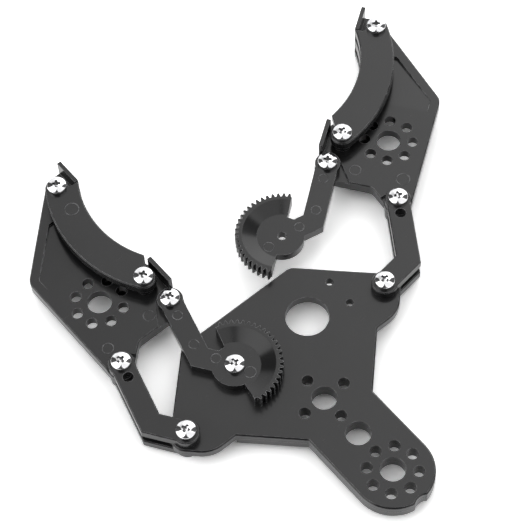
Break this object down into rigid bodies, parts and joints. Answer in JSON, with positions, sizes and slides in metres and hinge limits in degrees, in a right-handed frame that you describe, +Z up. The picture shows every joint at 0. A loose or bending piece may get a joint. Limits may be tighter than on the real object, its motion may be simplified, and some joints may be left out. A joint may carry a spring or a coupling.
{
  "type": "robot gripper",
  "caption": "Parallel-jaw robot gripper in black moulded plastic, with geared dog-leg links and curved fingers, for a servo drive.",
  "frame": {"origin": "centre of the tail bore at the base plate's top face", "axes": "+Y from the tail towards the jaw tips, +X across the base plate towards the servo seat, +Z up out of the base plate's top face"},
  "size_m": [0.1607, 0.1659, 0.0179],
  "materials": {
    "base_plastic": "satin moulded",
    "jaw_plastic": "satin moulded",
    "crescent_plastic": "satin moulded",
    "link_plastic": "satin moulded",
    "gear_plastic": "satin moulded",
    "screw_chrome": "bright plated",
    "nut_steel": "plated"
  },
  "bodies": {
    "base": {"base_plate": "base_plastic", "gear_pivot_screw": "screw_chrome", "gear_pivot_nut": "nut_steel"},
    "left_gear": {"left_gear_link": "gear_plastic"},
    "left_follower": {"left_follower_upper_bar": "link_plastic", "left_follower_lower_bar": "link_plastic", "left_follower_base_screw": "screw_chrome", "left_follower_base_nut": "nut_steel", "left_follower_jaw_screw": "screw_chrome", "left_follower_jaw_nut": "nut_steel"},
    "left_jaw": {"left_jaw_plate": "jaw_plastic", "left_upper_crescent": "crescent_plastic", "left_lower_crescent": "crescent_plastic", "left_gear_arm_screw": "screw_chrome", "left_gear_arm_nut": "nut_steel", "left_crescent_tip_screw": "screw_chrome", "left_crescent_tip_nut": "nut_steel", "left_crescent_root_screw": "screw_chrome", "left_crescent_root_nut": "nut_steel"},
    "right_gear": {"right_gear_link": "gear_plastic"},
    "right_follower": {"right_follower_upper_bar": "link_plastic", "right_follower_lower_bar": "link_plastic", "right_follower_base_screw": "screw_chrome", "right_follower_base_nut": "nut_steel", "right_follower_jaw_screw": "screw_chrome", "right_follower_jaw_nut": "nut_steel"},
    "right_jaw": {"right_jaw_plate": "jaw_plastic", "right_upper_crescent": "crescent_plastic", "right_lower_crescent": "crescent_plastic", "right_gear_arm_screw": "screw_chrome", "right_gear_arm_nut": "nut_steel", "right_crescent_tip_screw": "screw_chrome", "right_crescent_tip_nut": "nut_steel", "right_crescent_root_screw": "screw_chrome", "right_crescent_root_nut": "nut_steel"}
  },
  "joints": [
    {"name": "left_drive", "type": "hinge", "parent": "base", "child": "left_follower", "pos_m": [-0.0406, 0.0497, 0], "axis": [0, 0, 1], "range_deg": [-20.5, 54]},
    {"name": "left_jaw_pivot", "type": "hinge", "parent": "left_follower", "child": "left_jaw", "pos_m": [-0.04116, 0.0817, 0], "axis": [0, 0, 1], "range_deg": [-54, 20.5]},
    {"name": "left_gear_pivot", "type": "hinge", "parent": "base", "child": "left_gear", "pos_m": [-0.0148, 0.0576, 0], "axis": [0, 0, 1], "range_deg": [-20.5, 54]},
    {"name": "right_follower_pivot", "type": "hinge", "parent": "base", "child": "right_follower", "pos_m": [0.0406, 0.0497, 0], "axis": [0, 0, 1], "range_deg": [-45, 5]},
    {"name": "right_jaw_pivot", "type": "hinge", "parent": "right_follower", "child": "right_jaw", "pos_m": [0.06486, 0.07057, 0], "axis": [0, 0, 1], "range_deg": [-14, 20]},
    {"name": "right_gear_arm_pivot", "type": "hinge", "parent": "right_jaw", "child": "right_gear", "pos_m": [0.05653, 0.09623, 0], "axis": [0, 0, 1], "range_deg": [-20, 20]}
  ],
  "couplings": [
    {"joint": "left_jaw_pivot", "follows": "left_drive", "ratio": -1},
    {"joint": "left_gear_pivot", "follows": "left_drive", "ratio": 1}
  ]
}
